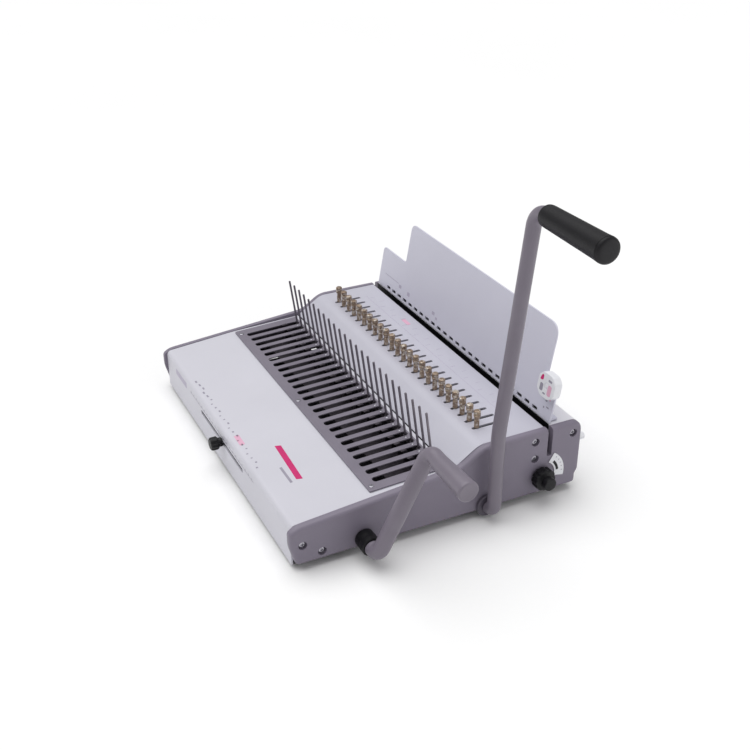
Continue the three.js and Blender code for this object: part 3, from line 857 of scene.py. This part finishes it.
rear_y = BACK - 0.9
bent_cover("rear_hood", [
    (THROAT_BACK, COVER_FOOT_Z),
    (THROAT_BACK, COVER_Z, 1.5),
    (rear_y, COVER_Z, 9),
    (rear_y, 19),
], REAR_LIT_COVER, "rear_cover")

# Black sheets over the cover flanges inside the narrow throat: painted shade.
SHADE_SHEET = 0.25
SHADE_SHEET_BOTTOM = 62
for name, front_y, top in [
    ("throat_front_shade_sheet", THROAT_FRONT + 0.02, COVER_Z - 0.5),
    ("throat_back_shade_sheet", THROAT_BACK - SHADE_SHEET - 0.02, DECK + 0.5),
]:
    bm = bmesh.new()
    slab(bm, facing_front(front_y + SHADE_SHEET), pill(-SPAN, SPAN, SHADE_SHEET_BOTTOM, top, 0.2), SHADE_SHEET,
         edge=0.05)
    piece(name, bm, BLACK)

# ---- Backrest and dial -------------------------------------------------------------------

LEANING = Matrix.Translation((0, THROAT_BACK + 0.4, DECK + 2 * GAP)) @ Matrix.Rotation(
    -BACKREST_LEAN, 4, "X"
)
BACKREST_THICK = 2
BACKREST_HALF = 192
BACKREST_TOP = 98.5
WINDOW_UP = 4.4
WINDOW_HALF = (4.4, 2)              # across and up
windows = [
    pill(hole_x(i) - WINDOW_HALF[0], hole_x(i) + WINDOW_HALF[0],
         WINDOW_UP - WINDOW_HALF[1], WINDOW_UP + WINDOW_HALF[1], 1.2)
    for i in range(HOLES)
]
bm = bmesh.new()
slab(bm, LEANING @ facing_front(BACKREST_THICK), outline([
    (-BACKREST_HALF, 0, 0.5), (BACKREST_HALF, 0, 0.5), (BACKREST_HALF, 46, 8), (172, 46, 2),
    (172, BACKREST_TOP, 15), (-134, BACKREST_TOP, 9), (-134, 49.5, 4), (-BACKREST_HALF, 49.5, 6),
]), BACKREST_THICK, edge=0.45, holes=[(window, 0.2) for window in windows])
slab(bm, along_z(DECK + GAP), pill(-188, 188, THROAT_BACK + 1.2, THROAT_BACK + 14, 2), 1.6,
     edge=0.4)
piece("paper_backrest", bm, BACKREST_LIT_COVER, replaces=("backrest",))
softened("window_strip", BLACK, 0.15)

DIAL_AT = (184.5, 39.4)
DIAL_THICK = 9
DIAL_WELL = 0.8
DIAL_CORNER = 2.6
DIAL = LEANING @ facing_front(-GAP) @ Matrix.Translation((*DIAL_AT, 0))
dial_outline = outline([
    (u, v, DIAL_CORNER) for u, v in [
        (-14, -7), (-7, -13), (7, -13), (14, -7), (14, 7), (7, 13), (-7, 13), (-14, 7),
    ]
])
bm = bmesh.new()
slab(bm, DIAL, dial_outline, DIAL_THICK, edge=1.1, back_edge=0.4, steps=4,
     pockets=[(disc((0, 0), 3.2), 0.3, DIAL_WELL)])
lathe(bm, DIAL @ Matrix.Translation((0, 0, DIAL_THICK - DIAL_WELL)),
      [(2.6, 0), (2.6, 0.35), (2.2, 0.7), (0, DIAL_WELL)], sides=24)
piece("comb_gauge_dial", bm, WHITE, "gauge_dial", ("gauge_dial",))


PRINT_LIFT = 0.02
PRINT_THICK = 0.06


def print_on(name, matrix, shapes, look, body="root"):
    """Thin printed shapes lying just proud of a surface."""
    bm = bmesh.new()
    for shape in shapes:
        slab(bm, matrix @ Matrix.Translation((0, 0, PRINT_LIFT)), shape, PRINT_THICK, edge=0)
    piece(name, bm, look, body)


DIAL_PRINT = DIAL @ Matrix.Translation((0, 0, DIAL_THICK))
print_on("dial_magenta", DIAL_PRINT,
         [outline([(-11, 3, 2), (-5.5, 4, 2), (-6, 10, 2), (-9, 9, 1.5)])],
         MAGENTA_INK, "gauge_dial")
print_on("dial_pink", DIAL_PRINT, [pill(3.8, 9.6, -8.4, 3, 2.4)], PINK_INK, "gauge_dial")
print_on("dial_grey", DIAL_PRINT,
         [pill(-9, -4, -7.5, 0.6, 1.6), rect(5.4, 7, 6, 2.4, 1), rect(-0.6, -8.4, 4, 1.6, 0.7)],
         GREY_INK, "gauge_dial")

# ---- Comb plate, fingers and hooks -------------------------------------------------------

PLATE = (
    Matrix.Translation((0, *PLATE_FRONT)) @ Matrix.Rotation(PLATE_SLOPE, 4, "X")
    @ Matrix.Translation((0, 0, GAP))
)
PLATE_SCREWS = [(-177.5, 5.2), (0, 5.2), (180, 5.2)]
PLATE_HEAD = (2.6, 0.9)
HEAD_SEAT = PLATE_THICK - 0.1       # heads and rivets are sunk a little into the plate
RIVET = [(1.5, 0), (1.45, 0.35), (1.1, 0.65), (0.5, 0.8), (0, 0.82)]
bm = bmesh.new()
slab(
    bm, PLATE, pill(-PLATE_HALF, PLATE_HALF, 0, PLATE_DEPTH, 1.6), PLATE_THICK, edge=0.3,
    holes=[(pill(tooth_x(j) - SLOT_WIDTH / 2, tooth_x(j) + SLOT_WIDTH / 2, SLOT_FRONT,
                 SLOT_BACK, 3.4, 6), 0.25) for j in range(TEETH)],
)
piece("comb_support_plate", bm, PLATE_COAT, replaces=("comb_plate",))
bm = bmesh.new()
for u, v in PLATE_SCREWS:
    screw(bm, PLATE @ Matrix.Translation((u, v, HEAD_SEAT)), *PLATE_HEAD)
for i in range(HOLES):
    lathe(bm, PLATE @ Matrix.Translation((hole_x(i), SLOT_BACK - 4.8, HEAD_SEAT)), RIVET,
          sides=16)
piece("comb_plate_screws", bm, BRIGHT)

FINGERS = Matrix.Translation((0, 155.8, 52.2)) @ Matrix.Rotation(math.radians(8), 4, "X")
RAIL_TOP = 6
FINGER_TOP = 67
FINGER_HALF = 0.9
FINGER_DEEP = 2.2
bm = bmesh.new()
slab(bm, FINGERS @ facing_front(FINGER_DEEP), pill(-178, 178, 0, RAIL_TOP, 1), FINGER_DEEP,
     edge=0.4)
for j in range(TEETH):
    x = tooth_x(j)
    slab(bm, FINGERS @ facing_front(FINGER_DEEP), outline([
        (x - FINGER_HALF, RAIL_TOP - 1), (x + FINGER_HALF, RAIL_TOP - 1),
        (x + FINGER_HALF, FINGER_TOP, 0.8), (x - FINGER_HALF, FINGER_TOP, 0.8),
    ], 4), FINGER_DEEP, edge=0.4)
piece("ring_fingers", bm, FINGER_STEEL, replaces=("finger_comb",))
softened("hook_rake", DARK_STEEL, 0.3)

# ---- Levers ------------------------------------------------------------------------------

bend = Vector((PUNCH_LEG_X, *PUNCH_TOP))
grip_way = (GRIP_END - bend).normalized()
bm = bmesh.new()
tube(bm, [
    (Vector((PUNCH_SHAFT_END + GAP, *PUNCH_PIVOT)), 0),
    (Vector((PUNCH_LEG_X, *PUNCH_PIVOT)), 9),
    (Vector((PUNCH_LEG_X, *PUNCH_KINK)), 150),
    (bend, 15),
    (bend + grip_way * GRIP_START, 0),
], PUNCH_BAR, round_cap(0.6), round_cap(0.4))
piece("punch_lever_bar", bm, LEVER_COAT, "punch_lever", ("punch_lever",))

grip_from = bend + grip_way * (GRIP_START + GAP)
grip_length = (GRIP_END - grip_from).length
grip_axes = Matrix.Translation(grip_from) @ grip_way.to_track_quat("Z", "Y").to_matrix().to_4x4()
GRIP_THIN = 10.35
grip_profile = [
    (0, 0.4), (7.6, 0.4), (8.6, 0), (9.3, 0.3), (9.8, 1.0), (10.1, 2.2), (GRIP_THIN, 6),
]
grip_profile += [
    (GRIP_THIN + 1.25 * t, 6 + (grip_length - 18) * t) for t in (0.25, 0.5, 0.75, 1.0)
]
grip_profile += [
    (11.85, grip_length - 7), (12.0, grip_length - 5), (11.95, grip_length - 4.2),
    (11.6, grip_length - 3.9), (11.6, grip_length - 3.5), (11.9, grip_length - 3.2),
    (11.5, grip_length - 2.0), (10.7, grip_length - 1.0), (9.4, grip_length - 0.4),
    (7.6, grip_length - 0.12), (4, grip_length - 0.02), (0, grip_length),
]
bm = bmesh.new()
lathe(bm, grip_axes, grip_profile, sides=48)
piece("punch_lever_grip", bm, FOAM, "punch_lever", ("punch_grip",))

# The handle of the binding lever dips by a millimetre towards its end.
bm = bmesh.new()
tube(bm, [
    (Vector((BIND_HUB_END + GAP, *BIND_PIVOT)), 0),
    (Vector((BIND_LEG_X, *BIND_PIVOT)), 9),
    (Vector((BIND_LEG_X, *BIND_TOP)), 10),
    (Vector((BIND_END_X - 1.2, BIND_TOP[0] - 1, BIND_TOP[1] - 1)), 0),
], BIND_BAR, round_cap(0.6), round_cap(0.6))
lathe(bm, axes(Y, Z, X, (BIND_END_X - SLEEVE, BIND_TOP[0] - 0.7, BIND_TOP[1] - 0.7)), [
    (6, 0), (8.0, 0), (8.4, 0.6), (10.1, SLEEVE - 3.2), (10.2, SLEEVE - 2), (9.9, SLEEVE - 0.9),
    (9.2, SLEEVE - 0.2), (8.2, SLEEVE), (7.2, SLEEVE - 0.5), (0, SLEEVE - 0.7),
], sides=48)
piece("binding_lever_bar", bm, LEVER_COAT, "binding_lever", ("binding_lever",))


def ring_collar(bm, x0, x1, centre, radius, bore=0):
    """Collar on a side shaft: eased rims, a shallow groove round its middle, open if bored."""
    length = x1 - x0
    profile = [
        (bore, 0), (radius - 0.8, 0), (radius, 0.8), (radius, length * 0.42),
        (radius - 0.5, length * 0.46), (radius - 0.5, length * 0.54), (radius, length * 0.58),
        (radius, length - 0.9), (radius - 0.9, length), (bore, length),
    ]
    if bore:
        profile.append(profile[0])
    lathe(bm, axes(Y, Z, X, (x0, *centre)), profile, sides=40)


bm = bmesh.new()
ring_collar(bm, HALF_WIDTH + GAP + 0.1, BIND_HUB_END, BIND_PIVOT, 10)
piece("binding_collar", bm, BLACK, "binding_lever", ("binding_hub",))
bm = bmesh.new()
ring_collar(bm, HALF_WIDTH + GAP, PUNCH_SHAFT_END - 0.6, PUNCH_PIVOT, 12, bore=SHAFT + GAP)
piece("punch_collar", bm, SHADED_COAT, replaces=("punch_bushing",))

# ---- Selector pins -----------------------------------------------------------------------

body_from = COVER_Z + 0.6
head_from = SELECTOR_TOP - 8
pin_profile = [
    (0, SELECTOR_BOTTOM), (1.4, SELECTOR_BOTTOM), (1.7, SELECTOR_BOTTOM + 0.4), (1.7, body_from),
    (2.4, body_from), (2.7, body_from + 0.3), (2.7, head_from - 3.2), (2.3, head_from - 2.8),
    (2.3, head_from - 2.0), (2.7, head_from - 1.6), (2.7, head_from), (3.4, head_from + 0.5),
    (3.7, head_from + 1.2), (3.7, head_from + 2.6), (3.3, head_from + 3.0), (3.3, head_from + 3.6),
    (3.7, head_from + 4.0), (3.7, SELECTOR_TOP - 1.2), (3.4, SELECTOR_TOP - 0.5),
    (2.8, SELECTOR_TOP - 0.1), (2.1, SELECTOR_TOP), (1.5, SELECTOR_TOP - 0.1),
    (1.1, SELECTOR_TOP - 0.6), (0, SELECTOR_TOP - 0.6),
]
for i in range(HOLES):
    bm = bmesh.new()
    lathe(bm, Matrix.Translation((hole_x(i), SELECTOR_Y, 0)), pin_profile, sides=24)
    node = f"selector_{i + 1:02d}"
    piece(f"selector_pin_{i + 1:02d}", bm, BRASS, node, (node,))

# ---- Knobs and margin scale --------------------------------------------------------------

knob_from = HALF_WIDTH + 1.4
bm = bmesh.new()
lathe(bm, axes(Y, Z, X, (knob_from, *MARGIN)), [
    (3.4, 0), (11.2, 0), (12, 0.8), (12, 8.0), (11.2, 9), (7.4, 9.4), (6.4, 10.2),
    (6.8, 11), (7, 12), (7, 16.8), (6.4, 17.7), (5.2, 18), (0, 18),
], sides=96, flutes=12, fluted=(1, 2, 3, 4), depth=1.0)
piece("margin_star_knob", bm, BLACK, "margin_knob", ("margin_knob",))
softened("margin_cam", STEEL, 0.3)

SCALE_THICK = 0.6
bm = bmesh.new()
slab(bm, along_x(HALF_WIDTH + GAP), arc_band(MARGIN, 16.5, 28, -12, 58), SCALE_THICK, edge=0.2)
piece("margin_scale_plate", bm, WHITE, replaces=("margin_scale",))
SCALE_FACE = along_x(HALF_WIDTH + GAP + SCALE_THICK)
print_on("margin_scale_mark", SCALE_FACE, [arc_band(MARGIN, 18.4, 21.2, 8, 44)], BLACK)
print_on("margin_scale_ticks", SCALE_FACE,
         [arc_band(MARGIN, 24.4, 26.0, angle - 0.8, angle + 0.8, 2) for angle in range(2, 48, 11)],
         GREY_INK)

clamp_axes = axes(X, Z, -Y, (CLAMP[0], COVER_FRONT_Y - GAP, CLAMP[1]))
bm = bmesh.new()
lathe(bm, clamp_axes, [
    (0, 7), (2.6, 7), (2.6, 0), (4.4, 0), (5, 0.5), (5, 4.0), (6.2, 4.4), (7.0, 5.2), (7.2, 6.4),
    (7.2, 11.2), (6.6, 12.6), (5.4, 13.2), (0, 13.2),
], sides=80, flutes=6, fluted=(7, 8, 9, 10), depth=1.3)
piece("size_star_knob", bm, BLACK, "size_knob", ("size_knob",))
softened("size_wedge", ZINC, 0.3)

# ---- Inner works, base and small parts ---------------------------------------------------

for node, look, edge in [
    ("base_plate", DULL_ZINC, 0.3),
    ("guide_block", THROAT_SHADE_STEEL, 0.3),
    ("die_block", THROAT_SHADE_STEEL, 0.3),
    ("punch_ram", STEEL, 0.3),
    ("punch_shaft", DARK_STEEL, 0.3),
    ("idler_shaft", STEEL, 0.3),
    ("binding_shaft", DARK_STEEL, 0.3),
    ("margin_stop", ZINC, 0.3),
    ("chip_drawer", PANEL_COAT, 0.5),
    ("rear_bumper_left", WHITE, 0.8),
    ("rear_bumper_right", WHITE, 0.8),
    ("foot_front_left", RUBBER, 0.6),
    ("foot_front_right", RUBBER, 0.6),
    ("foot_rear_left", RUBBER, 0.6),
    ("foot_rear_right", RUBBER, 0.6),
]:
    softened(node, look, edge)

# ---- Print on the covers -----------------------------------------------------------------

hood_rise = math.atan2(PLATE_FRONT[1] - HOOD_EDGE_Z, PLATE_FRONT[0] - COVER_FRONT_Y)
HOOD_TOP = Matrix.Translation((0, COVER_FRONT_Y, HOOD_EDGE_Z)) @ Matrix.Rotation(
    hood_rise, 4, "X"
)
HOOD_FRONT = facing_front(COVER_FRONT_Y)
DECK_TOP = along_z(COVER_Z)
BACKREST_FACE = LEANING @ facing_front(0)

print_on("hood_lilac_patch", HOOD_FRONT, [pill(-158, -118, 35.4, 42.8, 1.4)], LILAC_INK)
random.seed(7)
MARKS = 22
MARK_STEP = 9.2
WIDE_MARKS = 5
marks = []
for k in range(MARKS):
    width = 4.6 if k < WIDE_MARKS else random.choice((1.6, 2.4, 3.4))
    marks.append(rect(-104 + k * MARK_STEP, 7.6 + (k % 3) * 1.3, width, 2.0))
print_on("hood_scale_marks", HOOD_TOP, marks, GREY_INK)
ticks = [rect(-100 + MARK_STEP * k, 40.4, 0.8, 2.6) for k in range(MARKS)]
print_on("hood_scale_line", HOOD_FRONT, [pill(-104, 98, 38.6, 39.2, 0.2)] + ticks, GREY_INK)
print_on("hood_pink_patch", HOOD_TOP, [pill(24, 44, 6.6, 12, 1.2)], PINK_INK)
LEAN_BAR = outline([(64, 36.5, 0.8), (66.6, 42.5, 0.8), (131, 39.6, 0.8), (128.6, 33.6, 0.8)])
print_on("hood_magenta_bar", HOOD_TOP, [LEAN_BAR], MAGENTA_INK)
print_on("hood_grey_bar", HOOD_TOP, [pill(102, 131, 26.4, 29, 0.6)], GREY_INK)

print_on("deck_ticks", DECK_TOP,
         [rect(hole_x(i) + 7, 252 + 6 * (i % 2), 0.7, 6) for i in range(HOLES - 1)]
         + [pill(-165, 165, 246.4, 246.9, 0.2)], LILAC_INK)
print_on("deck_pink_patch", DECK_TOP, [pill(-86, -70, 254.6, 259.6, 1)], PINK_INK)
print_on("backrest_line", BACKREST_FACE, [pill(-178, -142, 18.4, 19.2, 0.3)]
         + [pill(-140, -134, 14.5, 18.5, 0.8), pill(-118, -112, 12.5, 17.5, 0.8),
            pill(-56, -50, 14.5, 18.5, 0.8), pill(-47, -43, 11.5, 14.5, 0.8)], LILAC_INK)
print_on("backrest_ear_marks", BACKREST_FACE,
         [rect(180, 20, 3, 2), rect(184, 14, 4, 1.6), rect(178, 12, 2, 2)], GREY_INK)
print_on("backrest_ear_pink", BACKREST_FACE, [rect(176, 22.5, 4, 2.4), rect(185, 23, 2.6, 2.2)],
         PINK_INK)
